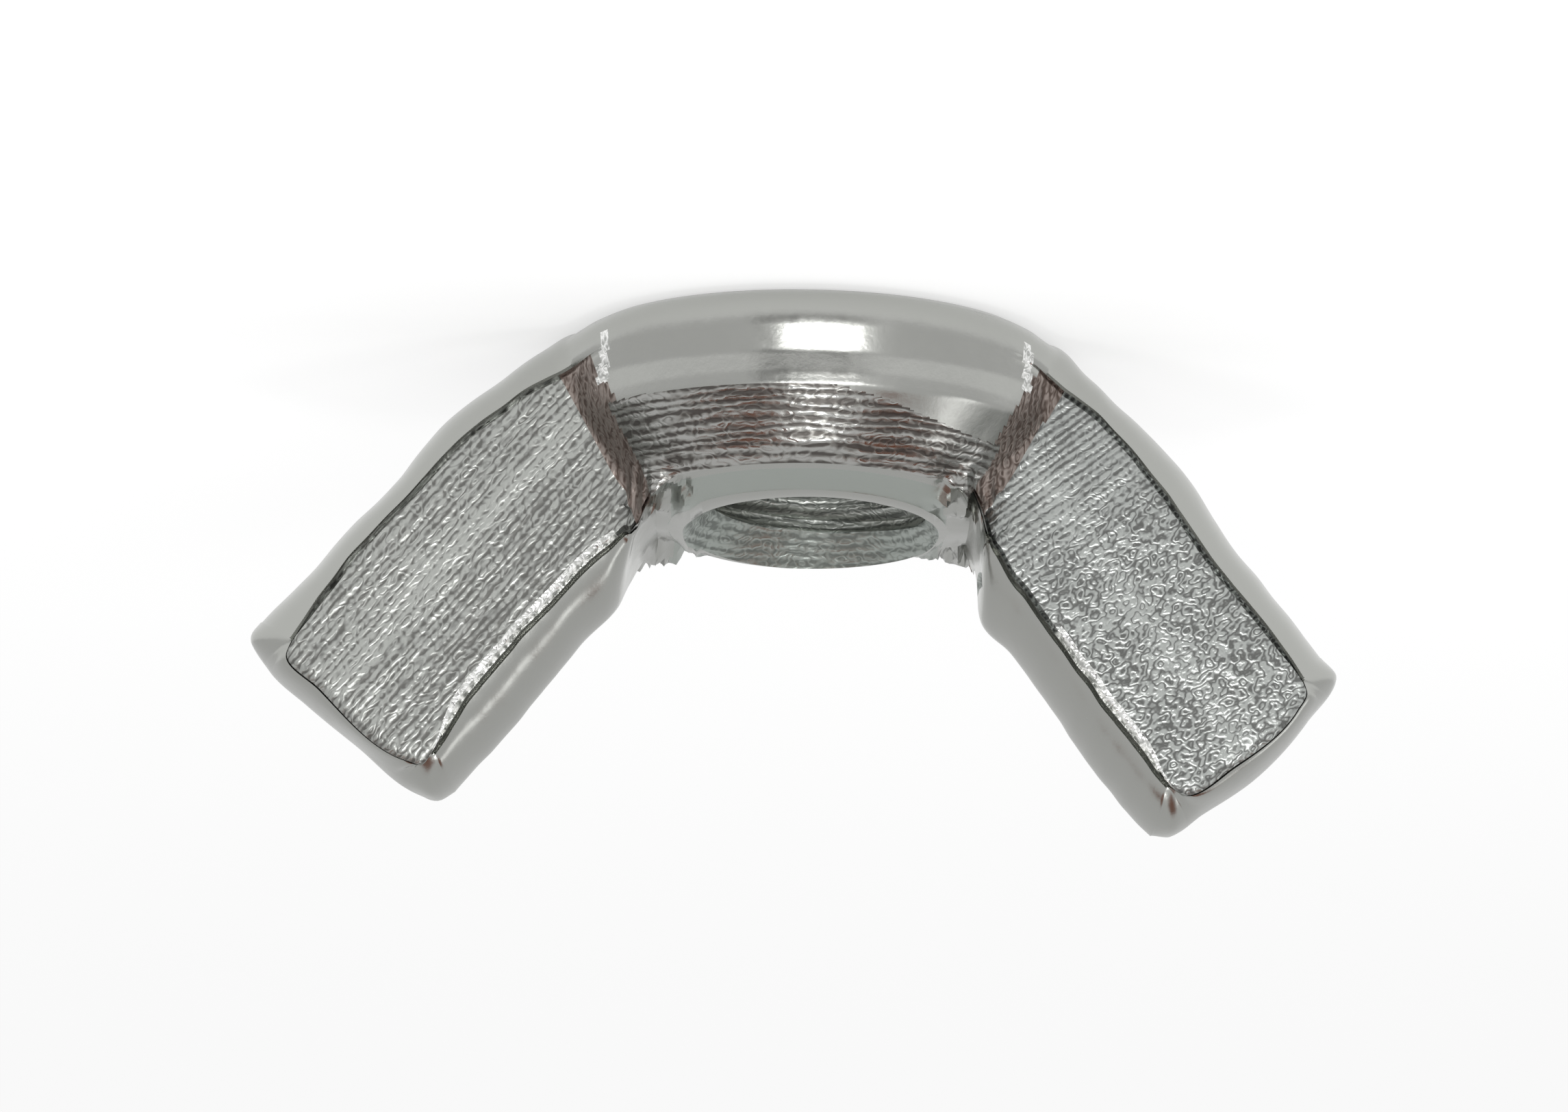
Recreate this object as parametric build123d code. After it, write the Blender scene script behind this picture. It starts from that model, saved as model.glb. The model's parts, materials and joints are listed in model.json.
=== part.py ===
from build123d import *
import os
from math import cos, radians, sin

# Cold-forged wing nut, M6 coarse thread. Millimetres.
# The origin is the centre of the bearing face, +Z runs along the thread towards the
# wings, and the wings spread along X.

# Bore. An M6 x 1 nut's minor diameter may be 4.917 to 5.153
minor_radius = 2.55
mouth_radius = 3.1  # where each countersink meets its face, just past the thread's 3.0

# Hub: a foot ring, a waist, a steep band and a cone, all turned about the thread
hub_height = 5.0
face_radius = 5.85  # flat part of the bearing face
foot_radius = 6.35
foot_top = 0.75  # the foot ring's widest stretch ends here
waist_radius = 6.1
waist_height = 1.15
waist_sag = 0.06  # how hollow the curve between the ring and the waist is
band_radius = 6.0  # where the steep band ends and the cone starts
band_height = 2.2
cone_radius = 4.6  # where the cone ends
cone_height = 4.55
crown_radius = 3.5  # where the sloping top turns flat

# Wings
wing_spread = 28.0
wing_height = 12.6
wing_thickness = 4.1  # over the two struck faces
edge_thickness = 3.7  # of the rounded rim of metal round the struck faces
edge_width = 1.05  # how far that rim stands out past the struck faces
edge_round = 1.0
rim_corner = 1.1  # radius of the wing's corners seen from the front
face_corner = 0.35
knee_radius = 9.0  # of the outer edge's gentle inward bend

# Corners of one wing in the XZ plane before they are rounded, going round it
buried = 2.2  # how far from the axis the wing's outline closes, inside the hub
heel = (6.1, 0.05)  # where the outer edge leaves the foot ring
knee = (9.7, 2.9)  # where the outer edge steepens
outer_tip = (wing_spread / 2 + 0.45, 8.15)
inner_tip = (9.2, wing_height + 0.54)
crotch = (4.75, 7.3)  # where the inner edge turns down to the hub
shoulder = (4.15, hub_height)  # where it reaches the hub's top

# Root: a slanting facet that widens each wing into the hub
root_low, root_high = 0.45, 4.75  # heights of the facet's two ends, before trimming
facet_low = (6.6, 1.45)  # how far out it meets the wing's face, and its run, low down
facet_high = (4.55, 0.75)  # the same, at its upper end


def turned(points):
    """A solid of revolution about Z from its profile's (radius, height) points."""
    outline = Polyline([(r, 0, z) for r, z in points], close=True)
    return revolve(make_face(outline), Axis.Z)


def hub():
    """The turned middle: foot ring, waist, steep band, cone and sloping top."""
    step = foot_radius - face_radius
    arc_x, arc_z = step * sin(radians(45)), step * (1 - cos(radians(45)))
    foot = Line((0, 0, 0), (face_radius, 0, 0))
    rounding = ThreePointArc(
        (face_radius, 0, 0),
        (face_radius + arc_x, 0, arc_z),
        (foot_radius, 0, step),
    )
    side = Line((foot_radius, 0, step), (foot_radius, 0, foot_top))
    waist = ThreePointArc(
        (foot_radius, 0, foot_top),
        ((foot_radius + waist_radius) / 2 - waist_sag, 0, (foot_top + waist_height) / 2),
        (waist_radius, 0, waist_height),
    )
    rest = Polyline(
        (waist_radius, 0, waist_height),
        (band_radius, 0, band_height),
        (cone_radius, 0, cone_height),
        (crown_radius, 0, hub_height),
        (0, 0, hub_height),
        (0, 0, 0),
    )
    return revolve(make_face(foot + rounding + side + waist + rest), Axis.Z)


def wing_face(corners, inset, corner_radius):
    """One wing seen from the front, as a face in XZ, drawn in by inset all round."""
    ends = [(buried, heel[1]), heel, knee, outer_tip, inner_tip]
    flat = make_face(Polyline(ends + corners, close=True))
    face = fillet(flat.vertices().sort_by_distance(knee)[0], knee_radius)
    if inset:
        face = offset(face, -inset, kind=Kind.INTERSECTION)
    tips = [face.vertices().sort_by_distance(tip)[0] for tip in (outer_tip, inner_tip)]
    return Plane.XZ * fillet(tips, corner_radius)


def struck_face():
    """The flat struck panel, whose inner border runs straight on into the hub."""
    slope = (inner_tip[1] - crotch[1]) / (inner_tip[0] - crotch[0])
    straight_on = (buried, crotch[1] - slope * (crotch[0] - buried))
    return wing_face([straight_on], edge_width, face_corner)


def wing():
    """One wing: two flat struck faces with a lower, rounded rim of metal round them."""
    rim_face = wing_face([crotch, shoulder, (buried, hub_height)], 0, rim_corner)
    rim = extrude(rim_face, edge_thickness / 2, both=True)
    rim = fillet(rim.faces().filter_by(Axis.Y).edges(), edge_round)
    return rim + extrude(struck_face(), wing_thickness / 2, both=True)


def root_section(height, reach, run):
    """The facets' outline at one height: an eight-sided band across the hub."""
    half = wing_thickness / 2
    quarter = [(reach, half), (reach - run, half + run)]
    across = quarter + [(-x, y) for x, y in reversed(quarter)]
    around = across + [(x, -y) for x, y in reversed(across)]
    return make_face(Polyline([(x, y, height) for x, y in around], close=True))


def root():
    """The slanting facets that carry one wing into the hub, trimmed to its panel."""
    low = root_section(root_low, *facet_low)
    high = root_section(root_high, *facet_high)
    return loft([low, high], ruled=True) & extrude(struck_face(), foot_radius, both=True)


def bore():
    """What the drill takes out: the hole at the thread's minor diameter, countersunk."""
    depth = mouth_radius - minor_radius
    over = 1.0
    points = [
        (0, -over),
        (mouth_radius + over, -over),
        (minor_radius, depth),
        (minor_radius, hub_height - depth),
        (mouth_radius + over, hub_height + over),
        (0, hub_height + over),
    ]
    return turned(points)


def nut_body():
    one_side = wing() + root()
    return hub() + one_side + mirror(one_side, Plane.YZ) - bore()


body = nut_body()
os.makedirs("parts", exist_ok=True)
export_step(body, "parts/nut_body.step")
print("nut_body", body.bounding_box(), "volume", round(body.volume, 1))
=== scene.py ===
"""Wing nut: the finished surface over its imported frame, with its stage and camera.

The nut is one forging, so it is one mesh. Closed sections are carried along a path
from one wing's tip, through the hub, to the other wing's tip, and a threaded tool is
then cut out of it. Lengths in the code are millimetres until a mesh is filled.
"""

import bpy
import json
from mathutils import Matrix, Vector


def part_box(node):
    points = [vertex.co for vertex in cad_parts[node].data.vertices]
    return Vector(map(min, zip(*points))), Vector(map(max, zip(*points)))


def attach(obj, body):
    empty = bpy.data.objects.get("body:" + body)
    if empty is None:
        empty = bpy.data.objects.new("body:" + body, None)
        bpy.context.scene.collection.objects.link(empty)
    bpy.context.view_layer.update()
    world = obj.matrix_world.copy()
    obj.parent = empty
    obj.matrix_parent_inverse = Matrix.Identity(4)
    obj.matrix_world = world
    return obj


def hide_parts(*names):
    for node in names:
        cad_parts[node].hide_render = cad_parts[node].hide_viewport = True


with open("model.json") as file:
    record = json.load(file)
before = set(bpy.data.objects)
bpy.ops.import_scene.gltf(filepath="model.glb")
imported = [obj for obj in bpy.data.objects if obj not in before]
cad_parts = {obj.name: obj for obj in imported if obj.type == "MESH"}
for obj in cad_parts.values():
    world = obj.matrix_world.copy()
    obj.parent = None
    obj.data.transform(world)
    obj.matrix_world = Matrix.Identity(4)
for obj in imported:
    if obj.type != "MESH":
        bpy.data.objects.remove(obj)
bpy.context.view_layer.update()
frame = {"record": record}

import json
import math

import bmesh
import bpy
import numpy as np
from bpy.props import FloatProperty, FloatVectorProperty, PointerProperty
from mathutils import Matrix, Vector

bl_info = {
    "name": "Wing nut",
    "version": (1, 0, 0),
    "blender": (4, 5, 0),
    "location": "View3D > Sidebar > Wing nut",
    "description": "Builds a forged, zinc-plated wing nut over its frame",
    "category": "Mesh",
}

MM = 0.001
NODE = "nut_body"
LOW, HIGH = (np.array(corner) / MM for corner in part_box(NODE))
SPREAD, FOOT = HIGH[0] - LOW[0], HIGH[1] - LOW[1]
THREAD_MOUNT = next(m for m in frame["record"]["mounts"] if m["name"] == "thread")
MINOR_RADIUS = THREAD_MOUNT["dims"]["r_mm"]


# ---------------------------------------------------------------- small mathematics


def smooth_step(low, high, x):
    """0 below low, 1 above high, and an S-curve between them."""
    t = np.clip((x - low) / (high - low), 0, 1)
    return t * t * (3 - 2 * t)


def soft_max(a, b, width):
    """The larger of a and b, with a parabolic fillet where they differ by less than width."""
    near = np.clip(1 - np.abs(a - b) / width, 0, 1)
    return np.maximum(a, b) + near * near * width / 4


def hashed(i, j, seed):
    """A fixed pseudo-random number from -1 to 1 for each pair of whole numbers."""
    h = (i * 374761393 + j * 668265263 + seed * 974634777) & 0xFFFFFFFF
    h = ((h ^ (h >> 13)) * 1274126177) & 0xFFFFFFFF
    return ((h ^ (h >> 16)) & 0xFFFF) / 32767.5 - 1


def noise(x, y, seed):
    """Value noise from -1 to 1: random heights on a unit grid with S-curves between."""
    i, j = np.floor(x).astype(np.int64), np.floor(y).astype(np.int64)
    fx, fy = smooth_step(0, 1, x - i), smooth_step(0, 1, y - j)
    near = hashed(i, j, seed) * (1 - fx) + hashed(i + 1, j, seed) * fx
    far = hashed(i, j + 1, seed) * (1 - fx) + hashed(i + 1, j + 1, seed) * fx
    return near * (1 - fy) + far * fy


def along(points, shares):
    """Places at shares (0 to 1) of the length of the smooth curve through points.

    Each span is a cubic whose end slopes are those of the chords on either side,
    and the whole is then re-spaced evenly by length.
    """
    p = np.asarray(points, float)
    chord = np.r_[0, np.cumsum(np.hypot(*np.diff(p, axis=0).T))]
    slope = np.gradient(p, chord, axis=0)
    dense = np.linspace(0, chord[-1], 600)
    k = np.clip(np.searchsorted(chord, dense, "right") - 1, 0, len(p) - 2)
    span = (chord[k + 1] - chord[k])[:, None]
    t = ((dense - chord[k])[:, None]) / span
    curve = (
        (2 * t**3 - 3 * t**2 + 1) * p[k]
        + (t**3 - 2 * t**2 + t) * span * slope[k]
        + (3 * t**2 - 2 * t**3) * p[k + 1]
        + (t**3 - t**2) * span * slope[k + 1]
    )
    length = np.r_[0, np.cumsum(np.hypot(*np.diff(curve, axis=0).T))]
    at = np.asarray(shares) * length[-1]
    return np.stack([np.interp(at, length, curve[:, axis]) for axis in (0, 1)], -1)


# ---------------------------------------------------------------- the forging's shape

# Hub profile as (height, radius): foot ring, waist, steep band, cone, sloping top
FOOT_RADIUS = FOOT / 2
HUB_TOP = 5.0
WAIST, BAND, CONE_TOP = 1.15, 2.2, 4.55  # heights where the profile changes
HUB_PROFILE = (
    (0.0, FOOT_RADIUS - 0.95),
    (0.08, FOOT_RADIUS - 0.55),
    (0.25, FOOT_RADIUS - 0.24),
    (0.45, FOOT_RADIUS - 0.06),
    (0.62, FOOT_RADIUS),
    (0.88, FOOT_RADIUS - 0.02),
    (1.0, FOOT_RADIUS - 0.04),
    (1.7, FOOT_RADIUS - 0.225),
    (BAND, FOOT_RADIUS - 0.28),
    (2.5, FOOT_RADIUS - 0.34),
    (CONE_TOP, FOOT_RADIUS - 1.72),
    (HUB_TOP, FOOT_RADIUS - 2.8),
)
HUB_SHIFT = 0.12  # the tapped hole isn't quite in the middle of the forging
TOP_TILT = 0.1  # how fast the hub's top rises from front to back

# The two wings as forged, in XZ. They differ a little, as struck ones do. The four
# lines run outwards: the outer free edge, the struck face's lower and upper borders,
# and the inner free edge. The tip line joins the outer edge to the inner one, and the
# struck tip ends the struck face. The turns are the shares of the tip line where its two
# corners end, and the slope is the wing's rake in degrees.
WINGS = {
    1: {
        "outer": ((4, 0), (5.5, 0), (6.33, 0.05), (6.93, 0.38), (8.13, 1.3),
                  (9.63, 2.55), (10.58, 3.83), (12.08, 5.49), (12.98, 6.61), (14.03, 7.7)),
        "low": ((4, 1.15), (5.3, 1.1), (6.4, 1.45), (8.55, 2.92), (10.25, 4.74),
                (11.9, 6.72), (12.95, 8.4)),
        "high": ((4, 4.55), (4.2, 4.9), (4.4, 5.3), (5.33, 6.02), (6.68, 7.47),
                 (8.3, 9.42), (9.35, 11.12)),
        "inner": ((4, 5), (4.3, 5.35), (4.6, 5.87), (4.95, 7.07), (5.75, 7.97),
                  (7.5, 10.22), (8.95, 11.92)),
        "tip": ((14.25, 8.02), (13.8, 8.92), (12.8, 9.8), (11.55, 10.77),
                (9.85, 12.02), (9.35, 12.15)),
        "struck_tip": ((13.1, 8.72), (12.25, 9.64), (9.99, 11.4), (9.62, 11.48)),
        "lower_turn": 0.09, "upper_turn": 0.9,
        "slope": 50,
    },
    -1: {
        "outer": ((4, 0), (5.5, 0), (6.23, 0.1), (7.08, 0.9), (8.86, 2.6),
                  (9.66, 3.47), (10.71, 5.13), (11.86, 6.55), (13.03, 8.05)),
        "low": ((4, 1.15), (5.3, 1.15), (6.25, 1.62), (7.5, 2.6), (8.92, 4.33),
                (10.3, 6.25), (11.7, 7.98), (12.3, 8.9)),
        "high": ((4, 4.55), (4.2, 4.9), (4.45, 5.6), (5.46, 6.97), (6.86, 8.88),
                 (8.08, 10.47), (8.95, 11.57)),
        "inner": ((4, 5), (4.2, 5.5), (4.3, 6.2), (4.4, 7.3), (5.1, 8.02),
                  (6.69, 10.2), (7.9, 11.82), (8.75, 12.67)),
        "tip": ((13.4, 8.5), (12.7, 9.72), (11.35, 11.22), (10.05, 12.12), (9.2, 12.68)),
        "struck_tip": ((12.43, 9.2), (12.2, 9.67), (10.65, 11.1), (9.3, 11.82)),
        "lower_turn": 0.09, "upper_turn": 0.93,
        "slope": 53,
    },
}
# How much of each line lies in the root, between the hub and the struck face
ROOT_SHARES = {"outer": 0.2, "low": 0.205, "high": 0.085, "inner": 0.15}
HUB_REACH = 4.0  # the upright rows stop and each wing's lines start this far out

RIM_SHARE = 0.9  # the rounded edge's thickness as a share of the struck faces'
FACE_ROUND = 0.13  # how far the struck face's rounded border drops
FACET_SLOPE = 0.78  # how fast the root's facets widen towards the hub
SCORED_FROM = 2.45  # the cone is scored from this height up, or higher towards -X
LAND_HALF = 2.88  # half the thickness over the narrow land between a facet and the hub
ROOT_FILLET = 0.95  # over what difference of height the facets blend into the hub
FACET_WIDTH, FACET_SHOWN = 0.95, 0.7  # a facet's run, and the part that scoring never covers
CORNER_ROWS = 16  # the struck face's corners are rounded over this many rows
WAVER = 0.035  # how far the wings' four lines waver, as struck edges do
PAINTED_GLINT_FROM = {1: 8, -1: 40}  # the wing's row from which its inner border gets a painted highlight
PAINTED_GLINT_LINES = 3  # and how many lines of the struck face that takes in
STRIP_X, STRIP_HALF = 5.3, 0.17  # where the painted highlight strip beside a root is, and half its width
STRIP_LOW, STRIP_HIGH = 0.7, 1.9
FLASH_CORNER = (3.95, 2.6, 4.95)  # where the flash is thickest
FLASH_REACH, FLASH_PUSH = 1.35, 0.78

# The finish on each quad, as a place in the list that finishes() returns
(LONG_GRAIN, CROSS_GRAIN, SCORED, SMOOTH, THREAD, CROWN, FACET, PAINTED_GLINT, COUNTERSINK) = range(9)

# Grid counts
HUB_ROWS, FAN_ROWS, WING_ROWS, TIP_ROWS = 41, 26, 100, 11
RIM_LINES, FACE_LINES, CAP_LINES = 15, 74, 3


def row_shares(name):
    """Shares along one of a wing's four lines: the fan of rows at the root, then the wing."""
    root = ROOT_SHARES[name]
    fan = np.linspace(0, root, FAN_ROWS)[1:]
    wing = root + (1 - root) * np.linspace(0, 1, WING_ROWS + 1)[1:]
    return np.r_[fan, wing]


def line_shares():
    """Shares across a row, as (share, zone): the lower rim, struck face and upper rim.

    Rim lines crowd towards the free edge, where the section turns fastest, and
    towards the crease. Two lines close together carry the step up to the face.
    """
    turn = np.linspace(0, math.pi / 2, RIM_LINES - 3)
    rim = np.r_[(1 - np.cos(turn)) * 0.9, 0.95, 0.975, 1.0]
    step = 0.012
    face = np.r_[step, 2.5 * step, np.linspace(5 * step, 1 - 5 * step, FACE_LINES - 4)]
    face = np.r_[face, 1 - 2.5 * step, 1 - step]
    return rim, face


def face_drop(face):
    """How much of the struck face's rounding is left at a share across it, 1 to 0."""
    return 1 - smooth_step(0.0, 0.038, np.minimum(face, 1 - face))


def between(a, b, shares):
    """Points at shares of the way from each of a's points to b's, one row for each."""
    return a[:, None] + (b - a)[:, None] * shares[None, :, None]


def wing_rows(side):
    """The XZ places of one wing's grid, shape (rows, lines, 2), and their depths.

    A row runs from the outer free edge over the struck face to the inner free edge,
    straight between the wing's four lines. The last rows blend into the tip line.
    Depth is 0 at a free edge, 1 at the crease, and from 1 to 2 on the struck face: 1
    where it is flat, and more where its rounded border drops.
    """
    wing = WINGS[side]
    rim, face = line_shares()
    lines = {n: along(wing[n], row_shares(n)) for n in ("outer", "low", "high", "inner")}
    for name, seed in (("low", 3), ("high", 4), ("outer", 5), ("inner", 6)):
        p = lines[name]
        wobble = noise(np.arange(len(p)) / 7, np.full(len(p), 0.5), seed + side)
        fade = smooth_step(0, 40, np.arange(len(p)))
        lines[name] = p + (WAVER * wobble * fade)[:, None] * np.array([0.7, -0.7])
    grid = np.concatenate([
        between(lines["outer"], lines["low"], rim),
        between(lines["low"], lines["high"], face),
        between(lines["high"], lines["inner"], 1 - rim[::-1]),
    ], 1)
    depth = np.r_[rim, 1 + face_drop(face), rim[::-1]]
    # The struck face ends in a line with rounded corners
    inside = slice(len(rim) - 1, len(rim) + len(face) + 1)
    border = (wing["low"][-1], *wing["struck_tip"], wing["high"][-1])
    bowed = along(border, np.linspace(0, 1, len(face) + 2)) - grid[-1, inside]
    ease = smooth_step(-CORNER_ROWS, 0, np.arange(1 - len(grid), 1))
    grid[:, inside] += bowed[None] * ease[:, None, None]
    # The tip: the last row moves out to the tip line, and its ends go round the corners
    q = np.r_[0.03, 0.08, np.sin(np.linspace(0.2, math.pi / 2, TIP_ROWS - 2))]
    low_turn, high_turn = wing["lower_turn"], wing["upper_turn"]
    share = np.concatenate([
        low_turn * (1 + 0.9 * rim),
        1.9 * low_turn + (high_turn - 0.9 * (1 - high_turn) - 1.9 * low_turn) * face,
        high_turn - 0.9 * (1 - high_turn) * rim[::-1],
    ])
    tip = (wing["outer"][-1], *wing["tip"], wing["inner"][-1])
    edge = along(tip, share)
    last = grid[-1]
    blend = last[None] + (edge - last)[None] * q[:, None, None]
    for end, turn, weight in (
        (0, low_turn, np.r_[1 - rim, np.zeros(len(face) + len(rim))]),
        (-1, high_turn, np.r_[np.zeros(len(face) + len(rim)), 1 - rim[::-1]]),
    ):
        start = 0.0 if end == 0 else 1.0
        on_edge = along(tip, start + (turn - start) * q)
        blend += (on_edge - blend[:, end])[:, None] * weight[None, :, None]
    grid = np.concatenate([grid, blend])
    depth = np.tile(depth, (len(lines["low"]), 1))
    # The struck face drops to the crease over its last three rows
    for row, drop in ((-1, 0.9), (-2, 0.35), (-3, 0.1)):
        depth[row, inside] = np.maximum(depth[row, inside], 1 + drop)
    depth[-1, [len(rim) - 1, len(rim) + len(face)]] = 1
    # In the tip's rows, depth falls to 0 both towards the tip and towards the rims
    end = np.minimum(depth[-1], 1)[None]
    near = end * (1 - q)[:, None]
    near = near / np.maximum(end + (1 - q)[:, None] - near, 1e-9)
    return grid, np.concatenate([depth, near])


def hub_rows():
    """The XZ places of the hub's upright rows, from its middle out to the first fan row."""
    rim, face = line_shares()
    x = np.linspace(0, HUB_REACH, HUB_ROWS)
    z = np.r_[rim * WAIST, WAIST + face * (CONE_TOP - WAIST),
              HUB_TOP - rim[::-1] * (HUB_TOP - CONE_TOP)]
    grid = np.stack(np.broadcast_arrays(x[:, None], z[None]), -1)
    depth = np.r_[rim, 1 + 0 * face, rim[::-1]]
    return grid, np.tile(depth, (HUB_ROWS, 1))


def hub_radius(z):
    """The hub's radius at a height, its corners eased by averaging over 0.12 mm."""
    heights, radii = np.array(HUB_PROFILE).T
    fine = np.linspace(0, HUB_TOP, 1001)
    r = np.interp(fine, heights, radii)
    window = np.ones(25) / 25
    inner = np.convolve(np.pad(r, 12, mode="edge"), window, "valid")
    eased = np.where(fine < 0.3, r, inner)
    return np.interp(z, fine, eased)


def rim_height(depth, crease_depth):
    """The edge's section: a rounded bevel from the free edge, with a crease at the end.

    It is a quarter of the closed curve whose coordinates' powers of 1.75 add up to 1.
    """
    oval = np.clip(1 - (1 - depth) ** 1.75, 0, 1) ** (1 / 1.75)
    crease = crease_depth * smooth_step(0.9, 0.97, depth) * (1 - smooth_step(0.975, 1, depth))
    return RIM_SHARE * oval - crease


def half_thickness(sizes, side, grid, depth, seed):
    """How far the surface stands from the middle plane at each place, and its finish.

    It is the larger of the hub's circle at that height and the wing's plate, which
    widens towards the hub as a slanting facet, with a fillet where the two meet.
    """
    x, z = grid[..., 0], grid[..., 1]
    low = along(WINGS[side]["low"], [ROOT_SHARES["low"]])[0]
    high = along(WINGS[side]["high"], [ROOT_SHARES["high"]])[0]
    root = low[0] + (z - low[1]) * (high[0] - low[0]) / (high[1] - low[1])
    widen = np.logaddexp(0, (root - x) / 0.05) * 0.05
    r, offset = hub_radius(z), x - HUB_SHIFT * side
    plate = sizes.wing_thickness / MM / 2 + FACET_SLOPE * widen
    plate = -soft_max(-plate, -LAND_HALF, 0.12)
    inside = depth >= 1
    rim = rim_height(np.minimum(depth, 1), sizes.crease_depth / MM)
    plate = plate * np.where(inside, 1.0, rim) - FACE_ROUND * (depth - 1) * inside
    square = r * r - offset * offset
    hub = np.sign(square) * np.sqrt(np.abs(square))
    fillet = ROOT_FILLET - 0.2 * smooth_step(BAND, CONE_TOP, z)
    both = soft_max(hub, plate, fillet)
    hub_part = smooth_step(-0.3, 0.3, hub - plate)
    scored_from = SCORED_FROM + 0.8 * smooth_step(0, 4.5, -x * side)
    marked = both + relief(sizes, side, grid, depth, hub_part, scored_from, seed)
    # Painted highlights: a nearly white finish along the inner border, on the -X wing only towards
    # its tip, and in a short upright strip beside each root
    first = HUB_ROWS + FAN_ROWS + PAINTED_GLINT_FROM[side]
    painted_glint_mask = np.zeros(depth.shape, bool)
    painted_glint_mask[first:, -RIM_LINES - PAINTED_GLINT_LINES:-RIM_LINES + 1] = True
    painted_glint_mask &= inside
    strip = (np.abs(x - STRIP_X) < STRIP_HALF) & (z > STRIP_LOW) & (z < STRIP_HIGH)
    crown = (hub_part > 0.5) & (z > HUB_TOP - 0.4)
    cone = inside & (hub - plate > -0.7 * fillet) & (z > scored_from) & (x < root - FACET_SHOWN)
    facet = inside & (x < root) & (x > root - FACET_WIDTH)
    smooth = ~inside | (plate > LAND_HALF - 0.12)
    zone = np.select([painted_glint_mask | strip, crown, cone, facet, smooth],
                     [PAINTED_GLINT, CROWN, SCORED, FACET, SMOOTH],
                     LONG_GRAIN if side > 0 else CROSS_GRAIN)
    return np.where(depth > 0, marked, np.maximum(hub, 0)), zone


def relief(sizes, side, grid, depth, hub_part, scored_from, seed):
    """Forging marks, as a height: grain on the struck faces, scoring round the cone.

    Grain is noise drawn out along one direction. It runs along one wing, and across
    the other wing near its root, turning to a random mottle towards the tip.
    """
    x, z = grid[..., 0], grid[..., 1]
    slope = math.radians(WINGS[side]["slope"])
    far = x * math.cos(slope) + z * math.sin(slope)
    across = z * math.cos(slope) - x * math.sin(slope)
    struck = (depth >= 1) * (1 - hub_part)
    mottle = noise(far / 0.14, across / 0.14, seed + 21)
    if side > 0:
        grain = noise(across / 0.1, far / 1.1, seed) + 0.5 * noise(across / 0.17, far / 0.4, seed + 1)
        grain = 0.75 * grain + 0.35 * mottle
    else:
        ribs = noise(far / 0.11, across / 0.9, seed) + 0.4 * noise(far / 0.2, across / 0.4, seed + 1)
        share = smooth_step(12.5, 9.0, far)
        grain = share * 0.8 * ribs + (1 - 0.6 * share) * 0.9 * mottle
    swell = 0.03 * noise(far / 2.2, across / 1.6, seed + 5)
    angle = np.arctan2(x, 5.0)
    score = noise(z / 0.1, angle / 0.16, seed + 7) + 0.6 * noise(z / 0.18, angle / 0.35, seed + 8)
    rise = z - scored_from
    on_cone = hub_part * smooth_step(-0.05, 0.15, rise) * smooth_step(CONE_TOP, CONE_TOP - 0.08, z)
    smooth = 0.012 * noise(far / 1.3, across / 1.1, seed + 9)
    fade = smooth_step(0.0, 0.5, depth)
    grain_depth, score_depth = sizes.grain_depth / MM, sizes.score_depth / MM
    return struck * (grain_depth * grain + swell) + on_cone * score_depth * score + fade * smooth


def flash(side, points):
    """Crumpled metal squeezed out where a wing's inner edge meets the hub's crown: a
    push up and away from the middle plane, largest at the corner between the two and
    fading over the flash's reach, by noise folded to sharp ridges."""
    x, y, z = points[..., 0] * side, points[..., 1], points[..., 2]
    face = np.sign(y)
    corner_x, corner_y, corner_z = FLASH_CORNER
    aside = (np.abs(y) - corner_y) / 1.2
    away = np.sqrt((x - corner_x) ** 2 + aside ** 2 + (z - corner_z) ** 2)
    folds = 1 - 2.4 * np.abs(noise(x / 0.4 + 9, z / 0.45 + np.abs(y) / 0.5, 71 + side))
    folds = folds + 0.35 * noise(x / 0.2, np.abs(y) / 0.22 + z / 0.3, 75 + side)
    push = FLASH_PUSH * smooth_step(FLASH_REACH, 0.3, away) * (0.35 + 0.6 * folds)
    return points + push[..., None] * np.stack([0.1 * side + 0 * x, 0.6 * face, 0.75 + 0 * x], -1)


def nut_sections(sizes):
    """All of the forging's sections as one grid of points, and a zone for each quad.

    A section is a closed loop: up the front, over the top, down the back and across
    the bottom. Rows go from the -X wing's tip through the hub to the +X wing's tip.
    """
    sides, zones = [], []
    for side in (-1, 1):
        hub_grid, hub_depth = hub_rows()
        wing_grid, wing_depth = wing_rows(side)
        grid = np.concatenate([hub_grid, wing_grid])
        depth = np.concatenate([hub_depth, wing_depth])
        loops, marks = [], []
        for face, seed in ((-1, 100 + 40 * side), (1, 300 + 40 * side)):
            y, mark = half_thickness(sizes, side, grid, depth, seed)
            y = face * y
            marks.append(mark)
            on_top = smooth_step(3.6, 4.9, grid[..., 1]) * smooth_step(5.2, 4.6, grid[..., 0])
            tilt = TOP_TILT * y * on_top
            loops.append(np.stack([side * grid[..., 0], y, grid[..., 1] + tilt], -1))
        front, back = (flash(side, loop) for loop in loops)
        t = np.linspace(0, 1, CAP_LINES + 2)[1:-1][None, :, None]
        top = front[:, -1:] * (1 - t) + back[:, -1:] * t
        bottom = back[:, :1] * (1 - t) + front[:, :1] * t
        loop = np.concatenate([front, top, back[:, ::-1], bottom], 1)
        cap = np.full((len(loop), CAP_LINES), SMOOTH)
        zone = np.concatenate([marks[0], cap, marks[1][:, ::-1], cap], 1)
        sides.append(loop[::-1] if side < 0 else loop)
        zones.append(zone[::-1] if side < 0 else zone)
    # The two halves are eased together over their first six rows
    left, right = sides
    middle = (left[-1] + right[0]) / 2
    blend = smooth_step(6, 0, np.arange(6))[:, None, None]
    left[-6:] += blend[::-1] * (middle - left[-1])
    right[:6] += blend * (middle - right[0])
    return np.concatenate([left, right[1:]]), np.concatenate([zones[0], zones[1][1:]])


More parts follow.
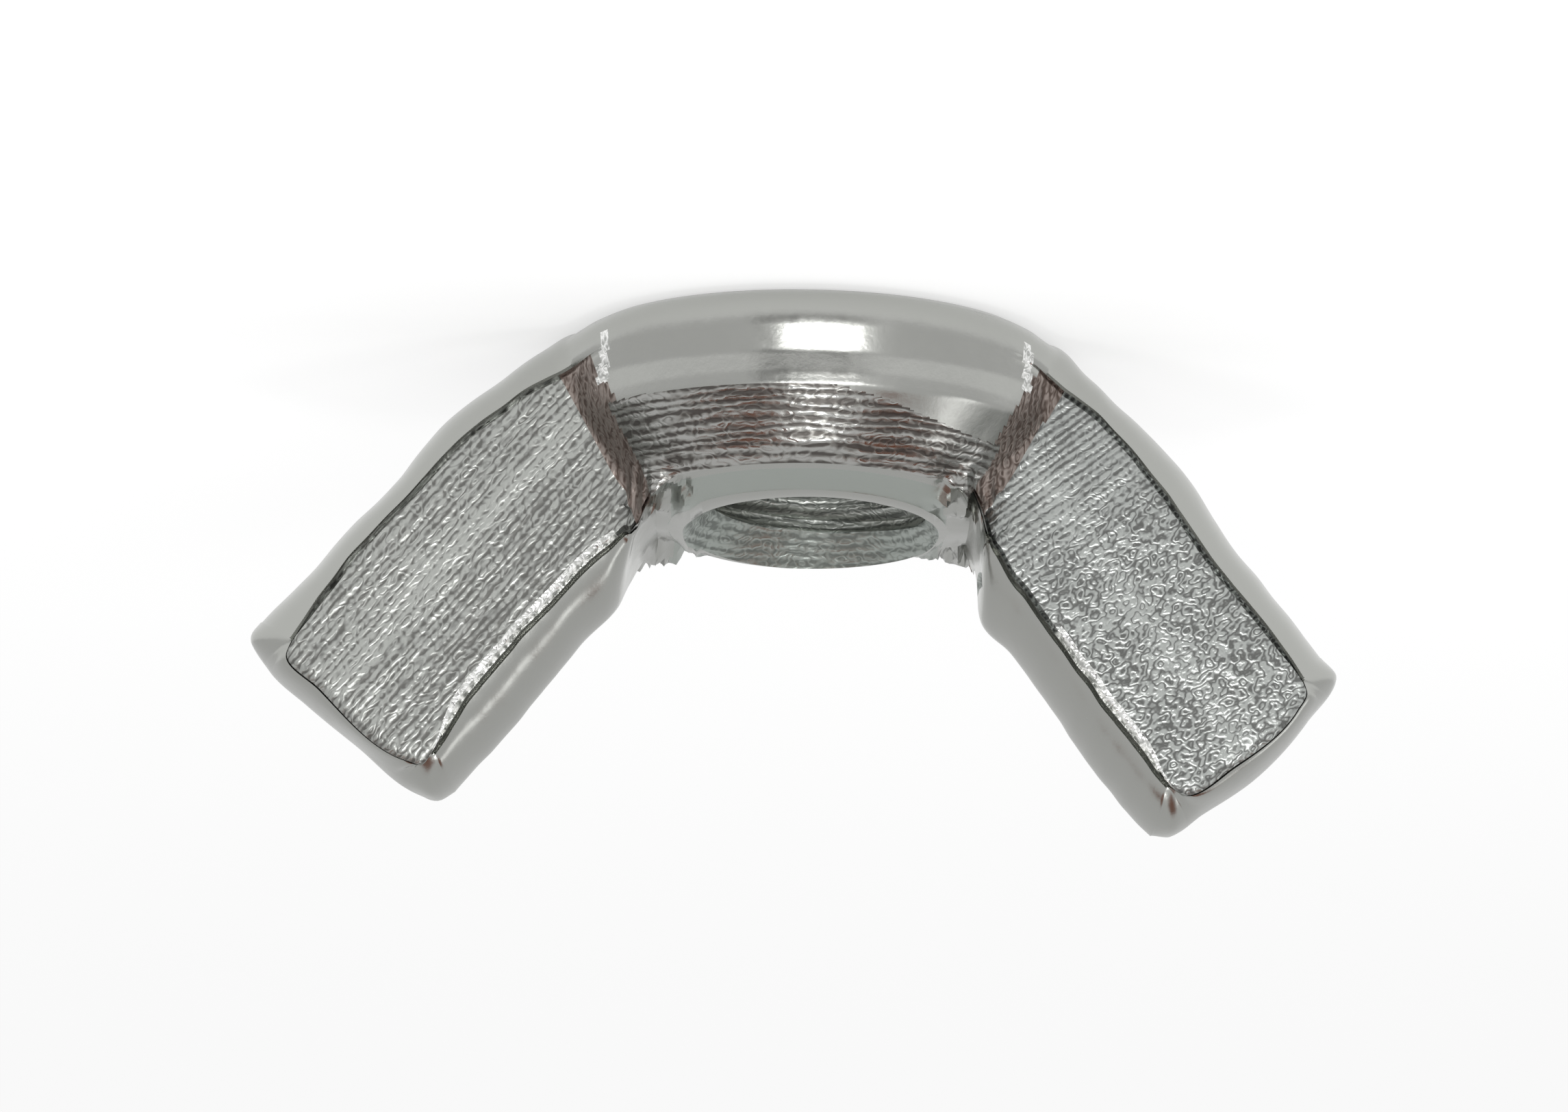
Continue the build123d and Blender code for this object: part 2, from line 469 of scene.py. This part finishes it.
def fill_mesh(name, points, quads, slots):
    """A mesh from whole arrays: points in mm, quads as rows of four indices."""
    mesh = bpy.data.meshes.new(name)
    mesh.vertices.add(len(points))
    mesh.vertices.foreach_set("co", (points * MM).astype(np.float32).ravel())
    mesh.loops.add(quads.size)
    mesh.loops.foreach_set("vertex_index", quads.astype(np.int32).ravel())
    mesh.polygons.add(len(quads))
    mesh.polygons.foreach_set("loop_start", np.arange(0, quads.size, 4, dtype=np.int32))
    mesh.polygons.foreach_set("material_index", slots.astype(np.int32))
    mesh.update(calc_edges=True)
    mesh.validate()
    return mesh


def clean(mesh, distance):
    """Joins points that coincide, closes open ends and turns all faces outwards."""
    bm = bmesh.new()
    bm.from_mesh(mesh)
    bmesh.ops.remove_doubles(bm, verts=bm.verts, dist=distance)
    bmesh.ops.dissolve_degenerate(bm, dist=distance, edges=bm.edges)
    ends = [e for e in bm.edges if e.is_boundary]
    if ends:
        bmesh.ops.holes_fill(bm, edges=ends, sides=0)
        bmesh.ops.triangulate(bm, faces=[f for f in bm.faces if len(f.verts) > 4])
    bmesh.ops.recalc_face_normals(bm, faces=bm.faces)
    if bm.calc_volume(signed=True) < 0:
        bmesh.ops.reverse_faces(bm, faces=bm.faces)
    bm.to_mesh(mesh)
    bm.free()


def forging_mesh(sizes):
    """The solid forging before it is drilled and tapped."""
    points, zones = nut_sections(sizes)
    rows, lines = points.shape[:2]
    index = np.arange(rows * lines).reshape(rows, lines)
    ahead = np.roll(index, -1, axis=1)
    quads = np.stack([index[:-1], ahead[:-1], ahead[1:], index[1:]], -1).reshape(-1, 4)
    # A quad beside a smooth point is smooth too, so that finishes end at the crease
    beside = np.roll(zones, -1, axis=1)
    corners = np.stack([zones[:-1], beside[:-1], beside[1:], zones[1:]])
    zones = np.where((corners == SMOOTH).any(0), SMOOTH, zones[:-1]).reshape(-1)
    mesh = fill_mesh("forging", points.reshape(-1, 3), quads, zones)
    clean(mesh, 0.0005 * MM)
    return mesh


# ---------------------------------------------------------------- the tapped hole

TURN_STEPS, PITCH_STEPS = 144, 20  # steps round one turn, and along one pitch
COUNTERSINK_REACH = 1.2  # how much wider than its mouth the countersink's tool grows


def thread_radius(sizes, height):
    """The tapped hole's radius at a height within one pitch: a flat crest, two flanks 60
    degrees from the axis and a flat root, as a clipped triangle wave."""
    pitch, major_radius = sizes.thread_pitch / MM, sizes.thread_diameter / MM / 2
    wave = np.abs((height / pitch) % 1 - 0.5) * pitch
    flank = math.tan(math.radians(60))
    return np.clip(MINOR_RADIUS + (wave - 0.15 * pitch) * flank, MINOR_RADIUS, major_radius)


def tool_mesh(sizes):
    """What drill, countersink and tap take out: the thread's section carried along its
    helix. Height is pitch times turns plus the place in the section, so the last
    column joins the first one pitch further on. The countersinks are 45 degree cones."""
    pitch, mouth_radius = sizes.thread_pitch / MM, sizes.mouth_diameter / MM / 2
    turn = np.arange(TURN_STEPS) / TURN_STEPS
    pitches = math.ceil(HUB_TOP / pitch) + 4
    place = np.arange(pitches * PITCH_STEPS + 1) / PITCH_STEPS * pitch - 3 * pitch
    z = place[None, :] + pitch * turn[:, None]
    countersink = np.maximum(mouth_radius - z, mouth_radius - (HUB_TOP - z))
    thread = thread_radius(sizes, place)[None, :] + 0 * z
    radius = np.minimum(np.maximum(thread, countersink), mouth_radius + COUNTERSINK_REACH)
    finish = np.where(countersink > thread + 0.02, COUNTERSINK, THREAD)
    angle = 2 * math.pi * turn[:, None] + 0 * z
    points = np.stack([radius * np.cos(angle), radius * np.sin(angle), z], -1).reshape(-1, 3)
    n = len(place)
    index = np.arange(TURN_STEPS * n).reshape(TURN_STEPS, n)
    here, there = index[:-1], index[1:]
    quads = [np.stack([here[:, :-1], here[:, 1:], there[:, 1:], there[:, :-1]], -1).reshape(-1, 4)]
    last, first = index[-1][: n - PITCH_STEPS], index[0][PITCH_STEPS:]
    quads.append(np.stack([last[:-1], last[1:], first[1:], first[:-1]], -1))
    quads = np.concatenate(quads)
    mesh = fill_mesh("thread_tool", points, quads, finish.ravel()[quads].max(1))
    clean(mesh, 0.0001 * MM)
    return mesh


def cut(body, tool):
    """Takes the tool's solid out of the body's and leaves the body with the result."""
    holder = bpy.data.objects.new("tool_holder", tool)
    bpy.context.scene.collection.objects.link(holder)
    taken = body.modifiers.new("bore", "BOOLEAN")
    taken.operation, taken.solver, taken.object = "DIFFERENCE", "MANIFOLD", holder
    evaluated = body.evaluated_get(bpy.context.evaluated_depsgraph_get())
    result = bpy.data.meshes.new_from_object(evaluated)
    body.modifiers.remove(taken)
    body.data = result
    bpy.data.objects.remove(holder)
    slots = np.zeros(len(result.polygons), np.int32)
    result.polygons.foreach_get("material_index", slots)
    if THREAD not in slots:
        raise RuntimeError("the threaded tool left no hole in the nut")


# ---------------------------------------------------------------- finishes


def to_linear(hex_colour):
    """An sRGB hex colour as linear red, green, blue and alpha."""
    values = [int(hex_colour[i:i + 2], 16) / 255 for i in (0, 2, 4)]
    return [v / 12.92 if v <= 0.04045 else ((v + 0.055) / 1.055) ** 2.4 for v in values] + [1]


def node(tree, kind, settings=None, links=None):
    """Adds a shader node: settings are attributes or input values, links are sockets."""
    made = tree.nodes.new(kind)
    for key, value in (settings or {}).items():
        if isinstance(key, int) or key in made.inputs:
            made.inputs[key].default_value = value
        else:
            setattr(made, key, value)
    for key, socket in (links or {}).items():
        tree.links.new(socket, made.inputs[key])
    return made


def metal(name, colour, roughness):
    """A bare metal with its shader, to which a finish adds its own patterns."""
    material = bpy.data.materials.new(name)
    material.use_nodes = True
    tree = material.node_tree
    shader = tree.nodes["Principled BSDF"]
    shader.inputs["Base Color"].default_value = colour
    shader.inputs["Metallic"].default_value = 1
    shader.inputs["Roughness"].default_value = roughness
    return material, tree, shader


def scored(name, colours, roughness, turn, draw, bands, period, wander, fine=0.35, bump=0.6,
           painted_streak=None, short=0.45):
    """A struck or scored zinc surface: dark wandering lines between bright ridges.

    The lines are a sine wave of the given period in mm across the surface, pushed about
    by noise as far as wander says. They are mixed, in the share fine, with short ridges
    that are contours of a smooth noise about 0.1 mm apart. The real marks go finer still
    and are drawn no finer than that. wander is a number, or a start, an end and two
    numbers: then it grows along X from start to end, and the ridges take over. turn
    makes X run along a wing and Z across it. draw is the scale that draws the lines out,
    under 1 along their length, and short says how much of it the ridges get. painted_streak
    is the place across the wing of a strip painted brighter, a painted highlight standing
    for the light that a slight slope across the struck face catches.
    """
    material, tree, shader = metal(name, colours[-1], roughness)
    spot = node(tree, "ShaderNodeTexCoord").outputs["Object"]
    place = node(tree, "ShaderNodeMapping", {"Rotation": turn, "Scale": [1 / MM] * 3},
                 {"Vector": spot}).outputs[0]
    drawn = node(tree, "ShaderNodeMapping", {"Scale": draw}, {"Vector": place}).outputs[0]
    less_drawn = node(tree, "ShaderNodeMapping", {"Scale": [d ** short for d in draw]},
                      {"Vector": place}).outputs[0]
    apart = node(tree, "ShaderNodeSeparateXYZ", {}, {"Vector": place})
    # At a scale of 1, the wave node repeats every 2 pi / 20
    lines = node(tree, "ShaderNodeTexWave",
                 {"bands_direction": bands, "Scale": 2 * math.pi / 20 / period,
                  "Detail": 2.5, "Detail Scale": 1.3, "Detail Roughness": 0.6},
                 {"Vector": drawn})
    hills = node(tree, "ShaderNodeTexNoise", {"Scale": 3.5, "Detail": 1.5, "Roughness": 0.55},
                 {"Vector": less_drawn})
    high = node(tree, "ShaderNodeMath", {"operation": "MULTIPLY", 1: 12.0},
                {0: hills.outputs["Fac"]})
    ridges = node(tree, "ShaderNodeMath", {"operation": "PINGPONG", 1: 1.0}, {0: high.outputs[0]})
    mixed = node(tree, "ShaderNodeMix", {"data_type": "FLOAT", 0: fine},
                 {2: lines.outputs["Fac"], 3: ridges.outputs[0]})
    if isinstance(wander, tuple):
        start, end, low, most = wander
        along_wing = {"Value": apart.outputs["X"]}
        for socket, least, greatest in ((lines.inputs["Distortion"], low, most),
                                        (mixed.inputs[0], fine, 0.9)):
            grow = node(tree, "ShaderNodeMapRange",
                        {"From Min": start, "From Max": end, "To Min": least, "To Max": greatest},
                        along_wing)
            tree.links.new(grow.outputs["Result"], socket)
    else:
        lines.inputs["Distortion"].default_value = wander
    height = mixed.outputs[0]
    # Broad patches, a few millimetres across, are a little darker or lighter
    patch = node(tree, "ShaderNodeTexNoise", {"Scale": 0.45, "Detail": 3, "Roughness": 0.6},
                 {"Vector": drawn})
    shift = node(tree, "ShaderNodeMapRange",
                 {"From Min": 0.3, "From Max": 0.7, "To Min": -0.14, "To Max": 0.14},
                 {"Value": patch.outputs["Fac"]})
    tone = node(tree, "ShaderNodeMath", {"operation": "ADD"},
                {0: height, 1: shift.outputs["Result"]}).outputs[0]
    # A strip about the given place across the wing is painted brighter: a painted highlight
    if painted_streak is not None:
        aside = node(tree, "ShaderNodeMath", {"operation": "SUBTRACT", 1: painted_streak},
                     {0: apart.outputs["Z"]})
        aside = node(tree, "ShaderNodeMath", {"operation": "ABSOLUTE"}, {0: aside.outputs[0]})
        painted_brightening = node(tree, "ShaderNodeMapRange",
                    {"From Min": 0.0, "From Max": 0.55, "To Min": 0.2, "To Max": 0.0},
                    {"Value": aside.outputs[0]})
        tone = node(tree, "ShaderNodeMath", {"operation": "ADD"},
                    {0: tone, 1: painted_brightening.outputs["Result"]}).outputs[0]
    ramp = node(tree, "ShaderNodeValToRGB", {}, {"Fac": tone})
    stops = ramp.color_ramp.elements
    stops.new(0.5)
    for stop, position, colour in zip(stops, (0.2, 0.42, 0.72), colours):
        stop.position, stop.color = position, colour
    tree.links.new(ramp.outputs["Color"], shader.inputs["Base Color"])
    # Ridges are rubbed smoother than the hollows between them
    rough = node(tree, "ShaderNodeMapRange",
                 {"To Min": roughness + 0.15, "To Max": roughness - 0.08}, {"Value": height})
    tree.links.new(rough.outputs["Result"], shader.inputs["Roughness"])
    normal = node(tree, "ShaderNodeBump", {"Strength": bump, "Distance": 0.04 * MM},
                  {"Height": height})
    tree.links.new(normal.outputs["Normal"], shader.inputs["Normal"])
    return material


def smooth_zinc(name, colour, roughness, peel=0.3):
    """Zinc over metal that flowed freely: even and satiny, with a faint orange peel."""
    material, tree, shader = metal(name, colour, roughness)
    spot = node(tree, "ShaderNodeTexCoord").outputs["Object"]
    place = node(tree, "ShaderNodeMapping", {"Scale": [1 / MM] * 3}, {"Vector": spot})
    skin = node(tree, "ShaderNodeTexNoise", {"Scale": 1.8, "Detail": 6, "Roughness": 0.6},
                {"Vector": place.outputs[0]})
    normal = node(tree, "ShaderNodeBump", {"Strength": peel, "Distance": 0.03 * MM},
                  {"Height": skin.outputs["Fac"]})
    tree.links.new(normal.outputs["Normal"], shader.inputs["Normal"])
    rough = node(tree, "ShaderNodeMapRange",
                 {"To Min": roughness - 0.08, "To Max": roughness + 0.08},
                 {"Value": skin.outputs["Fac"]})
    tree.links.new(rough.outputs["Result"], shader.inputs["Roughness"])
    return material


def finishes(tint):
    """The nut's materials, in the order of the zones. tint multiplies every colour."""
    right, left = (math.radians(WINGS[side]["slope"]) * side for side in (1, -1))

    def shades(*hex_colours):
        linear = [to_linear(colour) for colour in hex_colours]
        return [[value * t for value, t in zip(colour, (*tint, 1))] for colour in linear]

    return [
        # Struck between dies: silver lines run along this wing, with a painted highlight strip midway
        scored("zinc-plated struck face, long grain", shades("6A6A67", "8A8B88", "ABADA9"), 0.36,
               (0, right, 0), (0.15, 1, 1), "Z", 0.18, 6.0, fine=0.5, painted_streak=-2.9, short=0.3,
               bump=0.35),
        # The same metal, but its lines cross this wing and break into worms near the tip, with a
        # painted highlight strip too
        scored("zinc-plated struck face, cross grain", shades("666765", "878987", "A9ACA9"), 0.36,
               (0, left, 0), (1, 1, 0.25), "X", 0.18, (-7.0, -10.0, 3.0, 8.0), fine=0.4,
               painted_streak=-2.2, short=0.2, bump=0.35),
        # Dark wavy rings round the cone, which the die scored as it slid off
        scored("zinc-plated scored cone", shades("5E5B58", "8C8B87", "B2B2AF"), 0.24,
               (0, 0, 0), (0.2, 0.2, 1), "Z", 0.19, 8.0, fine=0.4, bump=0.28),
        # The even grey sheen of the free edges and the foot
        smooth_zinc("zinc-plated smooth edge", shades("ABACA8")[0], 0.24),
        # Fine greenish rings, left by the tap; their light tone is painted light inside the shaded
        # bore
        scored("zinc-plated tapped thread", shades("7B7E7A", "A9ACA7", "CBCEC9"), 0.38,
               (0, 0, 0), (0.3, 0.3, 1), "Z", 0.2, 5.0, fine=0.4),
        # A duller, slightly green and lumpier skin on the hub's top
        smooth_zinc("zinc-plated crown", shades("A6ABA6")[0], 0.32, 0.6),
        # Slanting marks where the die slid at a wing's root; their darker, brownish tint is painted
        # shade and painted reflection
        scored("zinc-plated root facet", shades("5E534D", "7B706A", "958B85"), 0.4,
               (0, 0, 0), (1, 1, 0.25), "X", 0.17, 6.0, fine=0.6, bump=0.25),
        # Painted highlights: nearly white along the struck faces' inner borders and in a strip beside
        # each root
        scored("zinc-plated painted highlight border", shades("B4B5B2", "D4D5D2", "F4F4F2"), 0.22,
               (0, right, 0), (1, 1, 1), "X", 0.3, 6.0, fine=0.6, bump=0.3),
        # Grey-green rings, where the cutter chattered
        scored("zinc-plated countersink", shades("7B807C", "919792", "A6ACA7"), 0.36,
               (0, 0, 0), (0.3, 0.3, 1), "Z", 0.22, 8.0, fine=0.5, bump=0.4),
    ]


# ---------------------------------------------------------------- settings and operators


class NutSizes(bpy.types.PropertyGroup):
    """The sizes and the colour of the nut that a user may change."""

    wing_thickness: FloatProperty(
        name="Wing thickness", description="Thickness over a wing's two struck faces",
        unit="LENGTH", default=4.1 * MM)
    crease_depth: FloatProperty(
        name="Crease depth", description="Depth of the crease round each struck face",
        unit="LENGTH", default=0.05 * MM, precision=5)
    grain_depth: FloatProperty(
        name="Grain depth", description="Height of the marks on the struck faces",
        unit="LENGTH", default=0.02 * MM, precision=5)
    score_depth: FloatProperty(
        name="Score depth", description="Height of the scoring round the cone",
        unit="LENGTH", default=0.009 * MM, precision=5)
    thread_diameter: FloatProperty(
        name="Thread diameter", description="Largest diameter of the thread",
        unit="LENGTH", default=6 * MM)
    thread_pitch: FloatProperty(
        name="Thread pitch", description="Distance from one turn of the thread to the next",
        unit="LENGTH", default=1 * MM)
    mouth_diameter: FloatProperty(
        name="Countersink diameter", description="Width of the hole's mouth at both ends",
        unit="LENGTH", default=6.5 * MM)
    crisp_angle: FloatProperty(
        name="Crisp angle", description="Corners sharper than this aren't shaded smooth",
        subtype="ANGLE", default=math.radians(38))
    plating_tint: FloatVectorProperty(
        name="Plating tint", description="Multiplies the zinc's colours. White is bright zinc",
        subtype="COLOR", size=3, default=(1, 1, 1), min=0, max=1)


class StageSettings(bpy.types.PropertyGroup):
    """The floor, the light and the camera."""

    floor_colour: FloatVectorProperty(
        name="Floor", description="Colour of the floor", subtype="COLOR", size=3,
        default=(0.5, 0.5, 0.5), min=0, max=1)
    floor_glow: FloatProperty(
        name="Floor glow", description="The floor is a lit acrylic sheet this bright", default=0.57)
    sky_strength: FloatProperty(
        name="Sky strength", description="Strength of the even white light all round", default=0.75)
    lamp_scale: FloatProperty(
        name="Lamps", description="Multiplies the power of every lamp", default=1.0, min=0)
    camera_distance: FloatProperty(
        name="Camera distance", description="From the camera to the nut", unit="LENGTH",
        default=100 * MM)
    camera_height: FloatProperty(
        name="Camera elevation", description="Angle of the view above the bearing face",
        subtype="ANGLE", default=math.radians(10.3))
    camera_roll: FloatProperty(
        name="Camera roll", description="Turn of the picture, which shows the nut wings down",
        subtype="ANGLE", default=math.radians(181.2))
    focal_length: FloatProperty(
        name="Focal length", description="In widths of the image", default=2.4585)


class NUT_OT_body(bpy.types.Operator):
    """Forge, tap and plate the nut"""

    bl_idname = "wing_nut.body"
    bl_label = "Nut body"

    def execute(self, context):
        sizes = context.scene.wing_nut_sizes
        body = bpy.data.objects.new("nut", forging_mesh(sizes))
        context.scene.collection.objects.link(body)
        for material in finishes(sizes.plating_tint):
            body.data.materials.append(material)
        tool = tool_mesh(sizes)
        for material in body.data.materials:
            tool.materials.append(material)
        cut(body, tool)
        body.data.shade_smooth()
        body.data.set_sharp_from_angle(angle=sizes.crisp_angle)
        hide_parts(NODE)
        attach(body, "root")
        return {"FINISHED"}


class NUT_OT_stage(bpy.types.Operator):
    """Set the floor, the light and the camera"""

    bl_idname = "wing_nut.stage"
    bl_label = "Stage"

    def execute(self, context):
        settings = context.scene.wing_nut_stage
        lay_floor(settings)
        light_stage(settings)
        place_camera(settings)
        if context.scene.camera is None:
            raise RuntimeError("the stage has no camera")
        return {"FINISHED"}


FLOOR_DROP = 0.03  # just below the bearing face, whose skin is a little uneven
VIEW_CENTRE = (0.71, 5.58)  # in the view's plane, right and up from the bearing face's centre
SENSOR_WIDTH = 36  # mm


def lay_floor(settings):
    """A wide flat floor under the bearing face. It glows, so it shows almost white."""
    reach = 40 * SPREAD
    x, y = np.meshgrid([-reach, reach], [-reach, reach])
    points = np.stack([x, y, 0 * x - FLOOR_DROP], -1).reshape(-1, 3)
    mesh = fill_mesh("floor", points, np.array([[0, 1, 3, 2]]), np.zeros(1))
    floor = bpy.data.objects.new("floor", mesh)
    bpy.context.scene.collection.objects.link(floor)
    material = bpy.data.materials.new("lit white acrylic")
    material.use_nodes = True
    shader = material.node_tree.nodes["Principled BSDF"]
    shader.inputs["Base Color"].default_value = list(settings.floor_colour) + [1]
    shader.inputs["Roughness"].default_value = 0.9
    shader.inputs["Specular IOR Level"].default_value = 0.0
    shader.inputs["Emission Color"].default_value = (1, 1, 1, 1)
    shader.inputs["Emission Strength"].default_value = settings.floor_glow
    mesh.materials.append(material)


def soft_box(name, place, target, size, power):
    """A rectangular lamp that faces the target; all in mm, power in watts."""
    lamp = bpy.data.lights.new(name, "AREA")
    lamp.shape, lamp.energy = "RECTANGLE", power
    lamp.size, lamp.size_y = (s * MM for s in size)
    holder = bpy.data.objects.new(name, lamp)
    holder.location = Vector(place) * MM
    aim = (Vector(target) - Vector(place)).to_track_quat("-Z", "Y")
    holder.rotation_mode = "QUATERNION"
    holder.rotation_quaternion = aim
    holder.visible_camera = False
    bpy.context.scene.collection.objects.link(holder)


def card(name, colour, azimuths, elevations, distance=100):
    """A matt card that only the metal's reflections see, between two azimuths from the
    front and two elevations, in degrees. Its corners are distance mm from the nut."""
    az = np.radians(np.array(azimuths)[[0, 1, 1, 0]])
    el = np.radians(np.array(elevations)[[0, 0, 1, 1]])
    corners = np.stack([np.sin(az) * np.cos(el), -np.cos(az) * np.cos(el), np.sin(el)], -1)
    corners *= distance
    mesh = fill_mesh(name, corners, np.array([[0, 1, 2, 3]]), np.zeros(1))
    held = bpy.data.objects.new(name, mesh)
    bpy.context.scene.collection.objects.link(held)
    material = bpy.data.materials.new("matt " + name)
    material.use_nodes = True
    shader = material.node_tree.nodes["Principled BSDF"]
    shader.inputs["Base Color"].default_value = to_linear(colour)
    shader.inputs["Roughness"].default_value = 0.9
    shader.inputs["Specular IOR Level"].default_value = 0.0
    mesh.materials.append(material)
    held.visible_camera = held.visible_shadow = held.visible_diffuse = False


def light_stage(settings):
    """Even white light all round, three soft lamps, and cards for the metal to reflect."""
    world = bpy.data.worlds.new("studio")
    world.use_nodes = True
    sky = world.node_tree.nodes["Background"]
    sky.inputs["Color"].default_value = (1, 1, 1, 1)
    sky.inputs["Strength"].default_value = settings.sky_strength
    bpy.context.scene.world = world
    bpy.context.scene.view_settings.view_transform = "Standard"
    watts = settings.lamp_scale
    # In turn: a faint glint midway up the cone, the bright block on the foot ring, and a
    # sheen along the +X wing's inner edge
    soft_box("overhead", (-6, -90, 122), (0, 0, 5), (30, 30), 0.02 * watts)
    soft_box("front", (-14, -150, 56), (0, 0, 2), (90, 14), 0.09 * watts)
    soft_box("side", (-100, -11, 61), (8, 0, 8), (24, 50), 0.005 * watts)
    # The dark band just below the scoring, and the brown patches either side of the glint
    card("front card", "1E1B19", (-24, 24), (0, 13), 150)
    card("left high card", "7A4A34", (24, 80), (46, 74))
    card("right high card", "7A4A34", (-100, -42), (45, 72))


def place_camera(settings):
    """The camera looks along +Y and down at the nut, then turns about its own axis."""
    camera = bpy.data.objects.new("camera", bpy.data.cameras.new("camera"))
    bpy.context.scene.collection.objects.link(camera)
    camera.data.sensor_width = SENSOR_WIDTH
    camera.data.lens = settings.focal_length * SENSOR_WIDTH
    rise, distance = settings.camera_height, settings.camera_distance
    back = Vector((0, -math.cos(rise), math.sin(rise)))
    right = Vector((1, 0, 0))
    up = back.cross(right)
    turn = Matrix.Rotation(settings.camera_roll, 3, "Z")
    axes = Matrix((right, up, back)).transposed() @ turn
    centre = right * VIEW_CENTRE[0] * MM + up * VIEW_CENTRE[1] * MM
    camera.matrix_world = Matrix.Translation(centre + back * distance) @ axes.to_4x4()
    camera.data.clip_start, camera.data.clip_end = 1 * MM, 10000 * MM
    bpy.context.scene.camera = camera


class NUT_PT_panel(bpy.types.Panel):
    """Lists the settings and the operators in the 3D view's sidebar"""

    bl_idname = "NUT_PT_panel"
    bl_label = "Wing nut"
    bl_space_type = "VIEW_3D"
    bl_region_type = "UI"
    bl_category = "Wing nut"

    def draw(self, context):
        for group in (context.scene.wing_nut_sizes, context.scene.wing_nut_stage):
            for name in group.__annotations__:
                self.layout.prop(group, name)
        for operator in (NUT_OT_body, NUT_OT_stage):
            self.layout.operator(operator.bl_idname)


CLASSES = (NutSizes, StageSettings, NUT_OT_body, NUT_OT_stage, NUT_PT_panel)


def register():
    """Adds the add-on's classes, and their settings to the scene."""
    for cls in CLASSES:
        bpy.utils.register_class(cls)
    bpy.types.Scene.wing_nut_sizes = PointerProperty(type=NutSizes)
    bpy.types.Scene.wing_nut_stage = PointerProperty(type=StageSettings)


def unregister():
    """Takes the settings and the classes away again."""
    del bpy.types.Scene.wing_nut_stage
    del bpy.types.Scene.wing_nut_sizes
    for cls in reversed(CLASSES):
        bpy.utils.unregister_class(cls)


def main():
    """Builds the nut and its stage."""
    register()
    bpy.ops.wing_nut.body()
    bpy.ops.wing_nut.stage()


if __name__ == "__main__":
    main()
